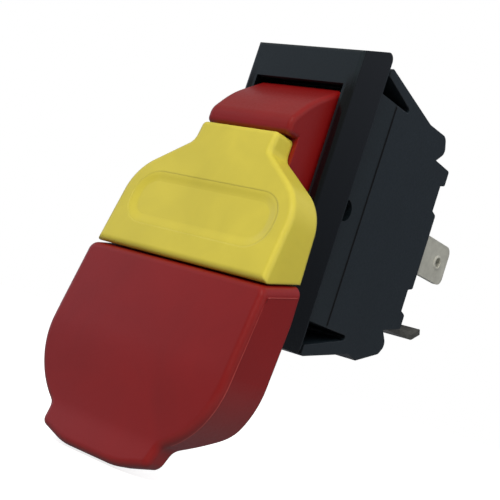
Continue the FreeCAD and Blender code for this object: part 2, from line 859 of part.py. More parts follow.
def lock_key():
    body = new_body("lock_key")
    back = -d.key_plane - d.slide_gap
    far = d.joint_reach + OVERLAP * 3
    low = d.joint_height + OVERLAP
    full_width = d.key_width + d.key_shoulder_width
    plate = mirrored(
        (d.key_neck_width / 2, d.key_top_height, d.key_edge),
        (d.key_neck_width / 2, d.key_neck_height, d.key_neck_radius),
        (d.key_shoulder_width / 2, -d.key_shoulder_height, d.key_shoulder_radius),
        (d.key_width / 2, -low),
    )
    extrude(body, "Pad", "XZ_Plane", plate, -far, back)
    lean = (d.joint_reach - d.key_top_reach) / (d.joint_height + d.key_top_height)
    high = d.key_top_height + OVERLAP

    def face_depth(height):
        return -d.key_top_reach - (d.key_top_height - height) * lean

    in_front = outline(
        (face_depth(-low), -low),
        (face_depth(high), high),
        (-far - OVERLAP, high),
        (-far - OVERLAP, -low),
    )
    across(body, "Pocket", in_front, full_width)
    under = outline(
        (-far - OVERLAP, joint_line(far + OVERLAP, d.joint_gap)),
        (back + OVERLAP, joint_line(-back - OVERLAP, d.joint_gap)),
        (back + OVERLAP, -low - OVERLAP),
        (-far - OVERLAP, -low - OVERLAP),
    )
    across(body, "Pocket", under, full_width)

    def is_front(edge):
        return lies_in(edge, lambda p: near(p.y, face_depth(p.z)))

    round_edges(body, d.key_edge, is_front)
    face_tilt = Size(
        math.degrees(math.atan(lean.value)), f"atan({lean.formula}) / 1 deg"
    )
    middle = (face_depth(-d.key_panel_drop), -d.key_panel_drop)
    half_panel = d.key_panel_width / 2
    end_round = d.key_panel_height * 0.45
    panel = mirrored(
        (half_panel, d.key_panel_height / 2, end_round),
        (half_panel, -d.key_panel_height / 2, end_round),
    )
    extrude(
        body, "Pocket", "XZ_Plane", panel, -OVERLAP, d.key_panel_depth, -face_tilt, middle
    )
    tip = d.blade_length - d.key_plane
    root = back - OVERLAP
    blade = outline(
        (root, -d.blade_bottom),
        (tip, -d.blade_bottom, d.blade_round),
        (tip, blade_top(tip), d.blade_round),
        (root, blade_top(root)),
    )
    across(body, "Pad", blade, d.blade_width)
    return body


def lock_bolt():
    body = new_body("lock_bolt")
    half = d.bolt_width / 2
    plate = rectangle(-half, -d.bolt_bottom, half, bolt_top())
    extrude(body, "Pad", "XZ_Plane", plate, bolt_front, bolt_back)
    half_eye = d.blade_width / 2 + d.slide_gap
    eye = rectangle(-half_eye, -d.blade_bottom - d.slide_gap * 2, half_eye, follower_height())
    extrude(body, "Pocket", "XZ_Plane", eye, bolt_front - OVERLAP, bolt_back + OVERLAP)
    bevel_edges(body, d.bolt_bevel, lambda edge: lies_in(edge, lambda p: near(p.z, -d.bolt_bottom)))
    return body


def key_clip():
    body = new_body("key_clip")
    half = d.clip_width / 2
    top = -d.blade_bottom - d.slide_gap * 2
    start = -d.key_plane + OVERLAP + d.slide_gap / 2
    leaf = rectangle(-half, top - d.clip_thickness, half, top)
    extrude(body, "Pad", "XZ_Plane", leaf, start, start + d.clip_length)
    return body


def coil_spring(name, length, radius, turns):
    """A square-wire compression spring standing on the origin along +Z."""
    body = new_body(name)
    wire = d.spring_wire / 2
    sketch = new_sketch(body, "XZ_Plane", 0)
    draw_outline(
        sketch,
        [
            (radius - wire, 0),
            (radius + wire, 0),
            (radius + wire, wire * 2),
            (radius - wire, wire * 2),
        ],
    )
    helix = body.newObject("PartDesign::AdditiveHelix", f"{name}_coil")
    helix.Profile = sketch
    helix.ReferenceAxis = (sketch, ["V_Axis"])
    helix.Mode = "height-turns-angle"
    bind(helix, "Height", length - d.spring_wire)
    helix.Turns = turns
    doc.recompute()
    return body


def place(body, x, y, z, turn=0):
    """Puts a body at a point, turned about X, with its place tied to the sheet."""
    body.Placement = FreeCAD.Placement(
        FreeCAD.Vector(0, 0, 0), FreeCAD.Rotation(FreeCAD.Vector(1, 0, 0), as_size(turn).value)
    )
    bind(body, "Placement.Base.x", x)
    bind(body, "Placement.Base.y", y)
    bind(body, "Placement.Base.z", z)
    bind(body, "Placement.Rotation.Angle", turn)


def lock_spring():
    body = coil_spring("lock_spring", d.lock_spring_length - d.slide_gap * 2, d.lock_spring_radius, 5)
    place(body, 0, -d.bolt_centre, bolt_top() + d.slide_gap)
    return body


def plunger(side_name, side):
    """A bevel-nosed contact plunger, drawn along +Z from its spring end and turned onto its axis."""
    body = new_body(f"plunger_{side_name}")
    extrude(body, "Pad", "XY_Plane", circle(0, 0, d.plunger_radius), 0, d.plunger_length)
    tip = d.plunger_length
    bevel_edges(body, d.plunger_nose, lambda edge: lies_in(edge, lambda p: near(p.z, tip)))
    start = d.plunger_reach - d.plunger_length
    turn = plunger_tilt - 90
    place(
        body,
        d.pole_offset * side,
        d.pivot_depth + start * cosine(plunger_tilt),
        start * sine(plunger_tilt),
        turn,
    )
    return body


def plunger_spring(side_name, side):
    start = d.guide_bore_start + d.slide_gap
    length = d.plunger_reach - d.plunger_length - start - d.slide_gap
    radius = d.plunger_radius - d.spring_wire / 2 - d.slide_gap
    body = coil_spring(f"plunger_spring_{side_name}", length, radius, 3)
    place(
        body,
        d.pole_offset * side,
        d.pivot_depth + start * cosine(plunger_tilt),
        start * sine(plunger_tilt),
        plunger_tilt - 90,
    )
    return body


arm_back = cavity_floor - d.fulcrum_radius - d.fit_gap
arm_lean = d.arm_angle / 2


def contact_arm(side_name, side):
    """A shallow V of copper strip, rocking on the fulcrum ridge of the line terminal."""
    body = new_body(f"contact_arm_{side_name}")
    rise = tangent(d.arm_angle)
    lower_slant = d.arm_lower * rise
    strip = outline(
        (arm_back - d.arm_thickness, 0),
        (arm_back - d.arm_thickness, d.arm_upper),
        (arm_back, d.arm_upper),
        (arm_back, 0),
        (arm_back - lower_slant, -d.arm_lower),
        (arm_back - d.arm_thickness - lower_slant, -d.arm_lower),
    )
    centre = d.pole_offset * side
    half = d.arm_width / 2
    extrude(body, "Pad", "YZ_Plane", strip, centre - half, centre + half)
    hole = circle(centre, -d.contact_drop, d.shank_radius + d.fit_gap / 2)
    extrude(
        body,
        "Pocket",
        "XZ_Plane",
        hole,
        -d.arm_lower,
        d.arm_lower,
        -d.arm_angle,
        (arm_back, 0),
    )
    return body


def rivet(name, head_low, head_high, shank_low, shank_high, centre, height, turn=None, about=(0, 0)):
    """A contact rivet along Y with a domed-edge head and a shank."""
    body = new_body(name)
    head = circle(centre, height, d.contact_radius)
    extrude(body, "Pad", "XZ_Plane", head, head_low, head_high, turn, about)
    shank = circle(centre, height, d.shank_radius)
    extrude(body, "Pad", "XZ_Plane", shank, shank_low, shank_high, turn, about)
    return body


def moving_contact(side_name, side):
    name = f"moving_contact_{side_name}"
    centre = d.pole_offset * side
    return rivet(
        name,
        0,
        d.contact_height,
        -d.arm_thickness * cosine(d.arm_angle),
        d.contact_height / 2,
        centre,
        -d.contact_drop,
        -d.arm_angle,
        (arm_back, 0),
    )


fixed_face = arm_back + d.contact_height + d.contact_gap
load_shelf_front = cavity_floor + d.tab_thickness


def fixed_contact(side_name, side):
    centre = d.pole_offset * side
    return rivet(
        f"fixed_contact_{side_name}",
        fixed_face,
        load_shelf_front,
        load_shelf_front - d.contact_height / 4,
        load_shelf_front + d.tab_thickness,
        centre,
        -d.contact_drop,
    )


def line_terminal(side_name, side):
    """A quick-connect tab that turns inwards to a shelf with the fulcrum ridge of its arm."""
    body = new_body(f"line_terminal_{side_name}")
    tip = base_back + d.tab_length
    shelf_back = cavity_floor + d.tab_thickness
    extrude(body, "Pad", "XZ_Plane", rectangle(*line_shelf(side, 0)), cavity_floor, shelf_back)
    tab = outline(
        (cavity_floor, tab_bottom),
        (tip, tab_bottom, d.tab_chamfer),
        (tip, tab_top, d.tab_chamfer),
        (cavity_floor, tab_top),
    )
    low, _, high, _ = line_slot(side, 0)
    extrude(body, "Pad", "YZ_Plane", tab, low, high)
    hole = circle(tip - d.tab_hole_setback, d.tab_rise, d.tab_hole_radius)
    extrude(body, "Pocket", "YZ_Plane", hole, low - OVERLAP / 4, high + OVERLAP / 4)
    centre = d.pole_offset * side
    half_arm = d.arm_width / 2
    ridge = circle(cavity_floor, 0, d.fulcrum_radius)
    extrude(body, "Pad", "YZ_Plane", ridge, centre - half_arm, centre + half_arm)
    return body


def load_terminal(side_name, side):
    """A tab lying flat near the lower end, with a turned-up tip and a shelf for the fixed contact."""
    body = new_body(f"load_terminal_{side_name}")
    shelf_back = load_shelf_front + d.tab_thickness
    low, bottom, high, top = load_shelf(side, 0)
    extrude(body, "Pad", "XZ_Plane", rectangle(low, bottom, high, top), load_shelf_front, shelf_back)
    tip = base_back + d.load_tab_length
    bend = tip - d.load_tab_tip
    tab_low = -d.load_tab_drop - d.tab_thickness / 2
    tab_high = d.tab_thickness / 2 - d.load_tab_drop
    rise = d.load_tab_tip * tangent(d.load_tab_angle)
    strip = outline(
        (load_shelf_front, tab_low),
        (bend, tab_low, d.tab_thickness * 2),
        (tip, tab_low + rise),
        (tip - d.tab_thickness * sine(d.load_tab_angle), tab_high + rise),
        (bend - d.tab_thickness * tangent(d.load_tab_angle / 2), tab_high, d.tab_thickness),
        (load_shelf_front, tab_high),
    )
    extrude(body, "Pad", "YZ_Plane", strip, low, high)
    hole = circle(d.pole_offset * side, -d.contact_drop, d.shank_radius + d.fit_gap / 2)
    extrude(
        body,
        "Pocket",
        "XZ_Plane",
        hole,
        load_shelf_front - OVERLAP / 4,
        shelf_back + OVERLAP / 4,
    )
    return body


def build_all():
    parts = [
        bezel_frame(),
        contact_base(),
        pivot_pin(),
        rocker(),
        lock_key(),
        lock_bolt(),
        lock_spring(),
        key_clip(),
    ]
    for side_name, side in SIDES.items():
        parts += [
            plunger(side_name, side),
            plunger_spring(side_name, side),
            contact_arm(side_name, side),
            moving_contact(side_name, side),
            fixed_contact(side_name, side),
            line_terminal(side_name, side),
            load_terminal(side_name, side),
        ]
    return parts


def check_document(parts):
    doc.recompute()
    for thing in doc.Objects:
        if {"Invalid", "Error"} & set(thing.State):
            raise RuntimeError(f"{thing.Label} failed: {thing.State}")
    for part in parts:
        if part.Shape.isNull() or not part.Shape.isValid():
            raise RuntimeError(f"{part.Label} has no valid shape")
        if len(part.Shape.Solids) != 1:
            raise RuntimeError(f"{part.Label} has {len(part.Shape.Solids)} solids")


parts = build_all()
check_document(parts)
os.makedirs("parts", exist_ok=True)
for part in parts:
    part.Shape.exportStep(f"parts/{part.Label}.step")
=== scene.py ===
import json
import math

import bpy
from mathutils import Matrix, Vector


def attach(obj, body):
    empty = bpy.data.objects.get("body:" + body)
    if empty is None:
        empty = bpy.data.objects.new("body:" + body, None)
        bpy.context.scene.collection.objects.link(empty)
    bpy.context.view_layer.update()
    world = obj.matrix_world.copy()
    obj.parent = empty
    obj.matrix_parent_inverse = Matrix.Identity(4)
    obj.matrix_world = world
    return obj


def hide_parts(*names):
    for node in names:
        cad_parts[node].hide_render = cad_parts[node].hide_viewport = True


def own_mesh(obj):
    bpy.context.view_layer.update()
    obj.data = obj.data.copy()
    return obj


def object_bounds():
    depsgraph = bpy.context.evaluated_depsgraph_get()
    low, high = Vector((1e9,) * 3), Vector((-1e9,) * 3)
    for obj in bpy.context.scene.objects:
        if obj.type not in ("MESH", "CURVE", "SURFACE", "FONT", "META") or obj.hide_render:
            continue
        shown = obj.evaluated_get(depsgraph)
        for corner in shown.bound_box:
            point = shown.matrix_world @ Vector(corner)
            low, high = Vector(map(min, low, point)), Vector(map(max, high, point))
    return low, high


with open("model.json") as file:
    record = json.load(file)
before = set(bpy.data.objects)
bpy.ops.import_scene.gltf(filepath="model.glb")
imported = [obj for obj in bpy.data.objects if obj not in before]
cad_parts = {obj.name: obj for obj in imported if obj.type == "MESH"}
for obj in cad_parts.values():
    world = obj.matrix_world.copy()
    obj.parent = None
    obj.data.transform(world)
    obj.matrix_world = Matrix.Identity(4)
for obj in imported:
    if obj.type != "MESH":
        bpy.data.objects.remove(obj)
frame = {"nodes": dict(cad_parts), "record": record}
cad_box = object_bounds()

MM = 0.001
UP_AXIS = 2

# The photograph's camera: its place in millimetres, the way it looks, its roll and its lens.
CAMERA_PLACE = (91.29, -117.14, -23.70)
CAMERA_LOOK = (-0.6296, 0.7706, 0.0991)
CAMERA_ROLL = 18.22
CAMERA_LENS = 77.15
SENSOR_WIDTH = 36.0
CLIP_START = 0.01
CLIP_END = 20.0

# Sizes of the solids, in millimetres, that the added details sit on.
JOINT_REACH = 19.3
JOINT_HEIGHT = 14.9
JOINT_ANGLE = 13.4
KEY_TOP_REACH = 15.4
KEY_TOP_HEIGHT = 4.9
PANEL_WIDTH = 24.4
PANEL_HEIGHT = 7.6
PANEL_DROP = 7.1
PANEL_DEPTH = 0.25
PANEL_ROUND = 0.45 * PANEL_HEIGHT
PADDLE_TOP_WIDTH = 30.9
PADDLE_WIDTH = 31.6
PADDLE_TIP_REACH = 22.8
PADDLE_BACK = 12.5
PADDLE_BOTTOM = 40.2
PADDLE_LEAN = (PADDLE_TIP_REACH - JOINT_REACH) / (PADDLE_BOTTOM - JOINT_HEIGHT)
PADDLE_ROUND = 11.4
PADDLE_FLOOR = -17.5
SHOULDER_HEIGHT = 32.2
TONGUE_NOTCH_WIDTH = 19.6
TONGUE_NOTCH_HEIGHT = 36.4
TOP_ROUND = 1.3
EDGE_ROUND = 0.9
SKIRT_SIDE = 7.97
SKIRT_BACK = 6.0
BASE_BACK = 25.15
TAB_FACE = 7.4
TAB_HOLE_REACH = 30.85
TAB_HOLE_HEIGHT = 0.35

# The paddle's curl, in millimetres: where its face, its dip and its lip start and end, and how deep they are.
FACE_TOP = -15.0
CURL_BACK = 17.6
CURL_TOP = -25.0
CURL_FOOT = -37.0
CURL_DIP = 1.0
CURL_TILT = 0.038
LIP_TOP = -35.5
LIP_FOOT = -40.5
LIP_RISE = 0.55

# The key's dished rim, the paddle's parting line and the painted shadow in the seam of the housing, in
# millimetres.
RIM_WIDTH = 1.3
RIM_LIFT = 0.004
FLASH_WIDTH = 0.22
FLASH_HEIGHT = 0.06
FLASH_END_GAP = 0.3
FLASH_SIDE_TOP = -17.0
SEAM_WIDTH = 0.36
SEAM_SINK = 0.01
SEAM_FOOT = -15.6
SEAM_LENGTH = 32.4

# Round marks, in millimetres: a profile is rows of radius and height, from the middle outward.
EJECTOR_PROFILE = [(0.40, 0.01), (0.80, 0.01), (0.90, 0.07), (1.00, 0.07), (1.08, 0.01)]
PADDLE_PIN = 1.3
PADDLE_PIN_PLACES = (("left", -10.6, -23.4), ("middle", 0.0, -25.4), ("right", 10.6, -23.4))
BASE_PIN = 1.1
BASE_PIN_HEIGHTS = (("upper", 3.4), ("lower", -2.4))
TAB_LIP_PROFILE = [(0.75, -0.05), (0.77, 0.18), (0.86, 0.24), (1.03, 0.14), (1.22, -0.02)]

# How finely the details are divided. The curl is cut once in each millimetre.
CURL_CUTS = 26
RIM_STEPS = 6
PANEL_CORNER_STEPS = 16
SHOULDER_STEPS = 24
FLASH_STEPS = 12
SEAM_STEPS = 12
RING_STEPS = 28

# Short and far enough for cutting and bending a mesh, in millimetres. Points that agree to these decimals
# are one point.
SHORT_STEP = 0.02
FAR = 100.0
POINT_DECIMALS = 4

# Sockets of a colour mix: its share, its two colours and its result.
MIX_SHARE, MIX_FIRST, MIX_SECOND, MIX_RESULT = 0, 6, 7, 2

# The span that a noise pattern mostly keeps to, and the narrower one of the clouds on metal.
NOISE_LOW, NOISE_HIGH = 0.3, 0.7
CLOUD_LOW, CLOUD_HIGH = 0.35, 0.65

# Plastic: the width of a flow mark in millimetres, its darkest and palest shade, and the cosine of the turn
# from the flat to the rounded normal where an edge begins to turn pale and where it is palest. The pale
# edge is partly wear and partly a painted edge highlight.
FLOW_SIZE = 9.0
FLOW_DARK, FLOW_PALE = 0.93, 1.05
PALE_EDGE_START, PALE_EDGE_FULL = 0.995, 0.86
BEVEL_SAMPLES = 6

# Metal: the width of a cloud and the depth of a line in millimetres, and a line's width over its length.
CLOUD_SIZE = 2.5
LINE_DEPTH = 0.006
LINE_STRETCH = 0.04

# The bezel's glossier, darker zones: where they start and where they are full, in millimetres for the depth
# of the flange and for the distance and the height of the rails, and as the square of the normal's sideways
# part for the sides. On the rails the darkening is painted shadow.
FLANGE_START, FLANGE_FULL = 0.1, -0.3
RAIL_START, RAIL_FULL = 7.6, 8.0
RAIL_TOP, RAIL_BELOW = 17.0, 14.0
SIDE_START, SIDE_FULL = 0.90, 0.99
DARKER_ZONE_SHADE = 0.2
POLISHED_ROUGHNESS = 0.35

# The floor, in metres except for its gap in millimetres, and the room, whose places are parts of a direction
# of length one. A glow or a sheen is a strength of light. The lights aim at one place, in metres.
FLOOR_HALF = 3.0
FLOOR_GAP = 0.3
FLOOR_GLOW = 0.8
FLOOR_SHEEN = 0.10
ROOM_TOP = 0.6
ROOM_DIM, ROOM_BRIGHT = 0.06, 0.37
FAR_WALL_START, FAR_WALL_FULL = 0.2, 0.8
FAR_WALL_GLOW = 0.045
WINDOW_WAY = (-0.94, -0.30, 0.14)
WINDOW_EDGE, WINDOW_FULL = 0.85, 0.95
WINDOW_GLOW = 0.8
DAYLIGHT = "#DCE6FF"
LIGHT_AIM = (0.0, -0.005, -0.008)


def linear(hex_colour):
    """Linear RGBA of an sRGB hex colour."""
    channels = [int(hex_colour[i:i + 2], 16) / 255 for i in (1, 3, 5)]
    return [c / 12.92 if c <= 0.04045 else ((c + 0.055) / 1.055) ** 2.4 for c in channels] + [1.0]


def per_metre(feature_mm):
    """Texture scale that draws features about that many millimetres across."""
    return 1 / (feature_mm * MM)


def add(tree, kind, links=None, **settings):
    """Adds a node with its settings. A link is a plain value or another node's socket."""
    node = tree.nodes.new(kind)
    for name, value in settings.items():
        setattr(node, name, value)
    for socket, value in (links or {}).items():
        if isinstance(value, bpy.types.NodeSocket):
            tree.links.new(value, node.inputs[socket])
        else:
            node.inputs[socket].default_value = value
    return node


def new_material(name):
    """An empty material and its node tree."""
    material = bpy.data.materials.new(name)
    material.use_nodes = True
    material.node_tree.nodes.clear()
    return material, material.node_tree


def moulded_plastic(name, face, worn_and_highlit, ior, gloss, grain_mm, grain_height_mm, edge_mm, darker_glossier=None):
    """Injection-moulded plastic: the grain of an eroded steel tool, slow flow shading, and pale edges that
    are partly worn and partly a painted edge highlight.

    A real grain is about 0.05 mm across, too fine to show, so grain_mm draws it coarser. gloss is the
    roughness of its smoothest and of its roughest spots. The last argument, a function of the tree and the
    place, says from 0 to 1 where the plastic is glossier, from a polished tool, and darker; on the bezel's
    rails that darkening is painted shadow.
    """
    material, tree = new_material(name)
    place = add(tree, "ShaderNodeTexCoord").outputs["Object"]
    grain = add(
        tree,
        "ShaderNodeTexNoise",
        {"Vector": place, "Scale": per_metre(grain_mm), "Detail": 3.0, "Roughness": 0.6},
    ).outputs["Fac"]
    flow = add(
        tree,
        "ShaderNodeTexNoise",
        {"Vector": place, "Scale": per_metre(FLOW_SIZE), "Detail": 4.0, "Distortion": 0.8},
    ).outputs["Fac"]
    rounded = add(tree, "ShaderNodeBevel", {"Radius": edge_mm * MM}, samples=BEVEL_SAMPLES).outputs["Normal"]
    flat = add(tree, "ShaderNodeNewGeometry").outputs["Normal"]
    turn = add(tree, "ShaderNodeVectorMath", {0: rounded, 1: flat}, operation="DOT_PRODUCT").outputs["Value"]
    edge = add(
        tree,
        "ShaderNodeMapRange",
        {"Value": turn, "From Min": PALE_EDGE_START, "From Max": PALE_EDGE_FULL},
    ).outputs["Result"]
    # Pale edges: partly wear, partly a painted edge highlight.
    rubbed_and_highlit = add(tree, "ShaderNodeMath", {0: edge, 1: flow}, operation="MULTIPLY").outputs["Value"]
    skin = add(
        tree,
        "ShaderNodeMix",
        {MIX_SHARE: rubbed_and_highlit, MIX_FIRST: linear(face), MIX_SECOND: linear(worn_and_highlit)},
        data_type="RGBA",
    ).outputs[MIX_RESULT]
    span = {"From Min": NOISE_LOW, "From Max": NOISE_HIGH}
    shade = add(
        tree,
        "ShaderNodeMapRange",
        {"Value": flow, **span, "To Min": FLOW_DARK, "To Max": FLOW_PALE},
    ).outputs["Result"]
    roughness = add(
        tree,
        "ShaderNodeMapRange",
        {"Value": grain, **span, "To Min": gloss[0], "To Max": gloss[1]},
    ).outputs["Result"]
    # Darker and glossier where the mask says; on the bezel's rails the darkening is painted shadow.
    if darker_glossier:
        darker_glossier_share = darker_glossier(tree, place)
        darkening, slick = (
            add(
                tree,
                "ShaderNodeMapRange",
                {"Value": darker_glossier_share, "To Min": 1.0, "To Max": share},
            ).outputs["Result"]
            for share in (DARKER_ZONE_SHADE, POLISHED_ROUGHNESS)
        )
        shade = add(tree, "ShaderNodeMath", {0: shade, 1: darkening}, operation="MULTIPLY").outputs["Value"]
        roughness = add(
            tree,
            "ShaderNodeMath",
            {0: roughness, 1: slick},
            operation="MULTIPLY",
        ).outputs["Value"]
    colour = add(tree, "ShaderNodeVectorMath", {0: skin, "Scale": shade}, operation="SCALE").outputs["Vector"]
    bump = add(
        tree,
        "ShaderNodeBump",
        {"Height": grain, "Distance": grain_height_mm * MM, "Strength": 1.0, "Normal": rounded},
    ).outputs["Normal"]
    shader = add(
        tree,
        "ShaderNodeBsdfPrincipled",
        {"Base Color": colour, "Roughness": roughness, "IOR": ior, "Normal": bump},
    )
    add(tree, "ShaderNodeOutputMaterial", {"Surface": shader.outputs["BSDF"]})
    return material


def bezel_dark_zones_and_rail_shadow(tree, place):
    """Where the bezel is glossier and darker: the sides of the flange, and the rails beside its window, whose
    darkening is painted shadow.
    """
    across, depth, height = add(tree, "ShaderNodeSeparateXYZ", {"Vector": place}).outputs
    outward = add(tree, "ShaderNodeMath", {0: across}, operation="ABSOLUTE").outputs["Value"]
    facing = add(tree, "ShaderNodeNewGeometry").outputs["Normal"]
    sideways = add(tree, "ShaderNodeSeparateXYZ", {"Vector": facing}).outputs["X"]
    square = add(tree, "ShaderNodeMath", {0: sideways, 1: sideways}, operation="MULTIPLY").outputs["Value"]
    limits = (
        (depth, FLANGE_START * MM, FLANGE_FULL * MM),
        (square, SIDE_START, SIDE_FULL),
        (outward, RAIL_START * MM, RAIL_FULL * MM),
        (height, RAIL_TOP * MM, RAIL_BELOW * MM),
    )
    flange, side, beside, below = (
        add(
            tree,
            "ShaderNodeMapRange",
            {"Value": value, "From Min": start, "From Max": full},
        ).outputs["Result"]
        for value, start, full in limits
    )
    # The rails beside the window: painted shadow, made deeper black.
    rail_shadow = add(tree, "ShaderNodeMath", {0: beside, 1: below}, operation="MULTIPLY").outputs["Value"]
    either = add(tree, "ShaderNodeMath", {0: side, 1: rail_shadow}, operation="MAXIMUM").outputs["Value"]
    return add(tree, "ShaderNodeMath", {0: flange, 1: either}, operation="MULTIPLY").outputs["Value"]


def rolled_metal(name, bright, dull, gloss, line_mm, along, edge_mm, bare=1.0):
    """Metal strip or wire: rolling or drawing lines along one axis, and cloudy dulling.

    Real lines are about 0.02 mm wide, too fine to show, so line_mm draws them coarser. gloss is the
    roughness of the smoothest and of the roughest lines. bare is the share of bare metal, less than one
    where a matt oxide covers it.
    """
    material, tree = new_material(name)
    place = add(tree, "ShaderNodeTexCoord").outputs["Object"]
    stretch = [1.0, 1.0, 1.0]
    stretch["XYZ".index(along)] = LINE_STRETCH
    lined = add(tree, "ShaderNodeMapping", {"Vector": place, "Scale": stretch}).outputs["Vector"]
    lines = add(
        tree,
        "ShaderNodeTexNoise",
        {"Vector": lined, "Scale": per_metre(line_mm), "Detail": 4.0},
    ).outputs["Fac"]
    cloud = add(
        tree,
        "ShaderNodeTexNoise",
        {"Vector": place, "Scale": per_metre(CLOUD_SIZE), "Detail": 5.0, "Roughness": 0.65},
    ).outputs["Fac"]
    dulled = add(
        tree,
        "ShaderNodeMapRange",
        {"Value": cloud, "From Min": CLOUD_LOW, "From Max": CLOUD_HIGH},
    ).outputs["Result"]
    colour = add(
        tree,
        "ShaderNodeMix",
        {MIX_SHARE: dulled, MIX_FIRST: linear(bright), MIX_SECOND: linear(dull)},
        data_type="RGBA",
    ).outputs[MIX_RESULT]
    roughness = add(
        tree,
        "ShaderNodeMapRange",
        {
            "Value": lines,
            "From Min": NOISE_LOW,
            "From Max": NOISE_HIGH,
            "To Min": gloss[0],
            "To Max": gloss[1],
        },
    ).outputs["Result"]
    rounded = add(tree, "ShaderNodeBevel", {"Radius": edge_mm * MM}, samples=BEVEL_SAMPLES).outputs["Normal"]
    bump = add(
        tree,
        "ShaderNodeBump",
        {"Height": lines, "Distance": LINE_DEPTH * MM, "Strength": 1.0, "Normal": rounded},
    ).outputs["Normal"]
    shader = add(
        tree,
        "ShaderNodeBsdfPrincipled",
        {"Base Color": colour, "Roughness": roughness, "Metallic": bare, "Normal": bump},
    )
    add(tree, "ShaderNodeOutputMaterial", {"Surface": shader.outputs["BSDF"]})
    return material


def finishes():
    """One finish for each material slot of the record, and for the pieces that differ from their slot."""
    # Painted shade: a dark grey copy of the tin plate for the load tabs, standing for the shade on their
    # undersides, with little of the metal's own gleam.
    shaded_tin = rolled_metal(
        "tin_plate_painted_shade", "#6C6C67", "#4A4A46", gloss=(0.45, 0.60),
        line_mm=0.30, along="Y", edge_mm=0.10, bare=0.5,
    )
    return {
        # Red ABS, moulded in a satin tool: deep even red with a soft wide highlight.
        "red_plastic": moulded_plastic(
            "red_moulded_abs", "#7F0D0C", "#8D1816", ior=1.54, gloss=(0.34, 0.46),
            grain_mm=0.35, grain_height_mm=0.006, edge_mm=0.25,
        ),
        # The mould's parting line on the red pieces: thin, stretched and so paler, and paler still as a
        # painted highlight along the edge.
        "flash": moulded_plastic(
            "red_parting_line_painted_highlight", "#A8403C", "#B25650", ior=1.54, gloss=(0.34, 0.46),
            grain_mm=0.35, grain_height_mm=0.004, edge_mm=0.05,
        ),
        # Yellow ABS from the same kind of tool: chalky straw yellow, paler along its edges from wear and from
        # a painted edge highlight.
        "yellow_plastic": moulded_plastic(
            "yellow_moulded_abs", "#CFC043", "#DED369", ior=1.54, gloss=(0.34, 0.46),
            grain_mm=0.35, grain_height_mm=0.006, edge_mm=0.45,
        ),
        # Black glass-filled nylon: blue-grey sheen over a grain that breaks the highlight up.
        "black_nylon": moulded_plastic(
            "black_moulded_nylon", "#161F25", "#2A2E32", ior=1.53, gloss=(0.42, 0.58),
            grain_mm=0.30, grain_height_mm=0.010, edge_mm=0.20,
        ),
        # The bezel is the same nylon, but glossier where its tool was polished and deeper black on its flange
        # sides and on the rails beside its window; on the rails the deeper black is painted shadow.
        "bezel_frame": moulded_plastic(
            "black_bezel_nylon", "#151E23", "#1A1F24", ior=1.53, gloss=(0.42, 0.58),
            grain_mm=0.30, grain_height_mm=0.006, edge_mm=0.08, darker_glossier=bezel_dark_zones_and_rail_shadow,
        ),
        # Painted shadow: a near-black strip for the shade in the hairline gap between two mouldings, where no
        # light comes back out of it.
        "seam": moulded_plastic(
            "painted_seam_shadow_black", "#040405", "#060607", ior=1.45, gloss=(0.80, 0.95),
            grain_mm=0.30, grain_height_mm=0.004, edge_mm=0.05,
        ),
        # White acetal, turned from bar: waxy and smooth, with soft pale edges.
        "white_acetal": moulded_plastic(
            "white_turned_acetal", "#D9D7CF", "#E4E2DA", ior=1.48, gloss=(0.25, 0.34),
            grain_mm=0.40, grain_height_mm=0.004, edge_mm=0.15,
        ),
        # Blackened steel pin: dark oxide with brighter metal rubbed through.
        "dark_steel": rolled_metal(
            "blackened_steel", "#4A4A4C", "#2A2A2C", gloss=(0.30, 0.45),
            line_mm=0.30, along="X", edge_mm=0.10,
        ),
        # Hard-drawn spring wire: grey with draw lines.
        "spring_steel": rolled_metal(
            "drawn_spring_steel", "#B4B4B6", "#8E8E90", gloss=(0.22, 0.36),
            line_mm=0.15, along="Z", edge_mm=0.05,
        ),
        # Rolled copper strip: warm, with rolling lines and light tarnish.
        "copper_strip": rolled_metal(
            "rolled_copper", "#D89A72", "#A86A48", gloss=(0.22, 0.38),
            line_mm=0.20, along="Z", edge_mm=0.08,
        ),
        # Silver contact faces: pale and dull from pressing.
        "silver_contact": rolled_metal(
            "pressed_silver", "#E4E2DC", "#BDBBB4", gloss=(0.28, 0.42),
            line_mm=0.25, along="X", edge_mm=0.08,
        ),
        # Tin-plated brass tabs: matt grey-white with faint rolling lines.
        "tinned_brass": rolled_metal(
            "matt_tin_plate", "#E0DFD2", "#CCCBBE", gloss=(0.45, 0.60),
            line_mm=0.30, along="Y", edge_mm=0.10, bare=0.5,
        ),
        # The load tabs: tin with painted shade.
        "load_terminal_left": shaded_tin,
        "load_terminal_right": shaded_tin,
    }


def dress_nodes(finish):
    """Gives each CAD node its own finish, or else that of its slot in the record."""
    for row in frame["record"]["subparts"]:
        mesh = frame["nodes"][row["node"]].data
        mesh.materials.clear()
        mesh.materials.append(finish.get(row["node"], finish[row["material_slot"]]))


def piece(name, points_mm, faces, material, body, facing=None):
    """A smooth-shaded detail made of points in millimetres, riding on one of the bodies.

    An open detail is turned so that its faces look the way that facing says.
    """
    mesh = bpy.data.meshes.new(name)
    mesh.from_pydata([Vector(p) * MM for p in points_mm], [], faces)
    if facing and sum(face.area * face.normal.dot(Vector(facing)) for face in mesh.polygons) < 0:
        mesh.flip_normals()
    mesh.shade_smooth()
    mesh.materials.append(material)
    detail = bpy.data.objects.new(name, mesh)
    bpy.context.scene.collection.objects.link(detail)
    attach(detail, body)
    return detail


def strip_faces(rows, columns, closed):
    """Quads between neighbouring rows of points, closing the loop if asked."""
    last = rows if closed else rows - 1
    faces = []
    for row in range(last):
        start = row * columns
        follow = (row + 1) % rows * columns
        for column in range(columns - 1):
            faces.append((start + column, follow + column, follow + column + 1, start + column + 1))
    return faces


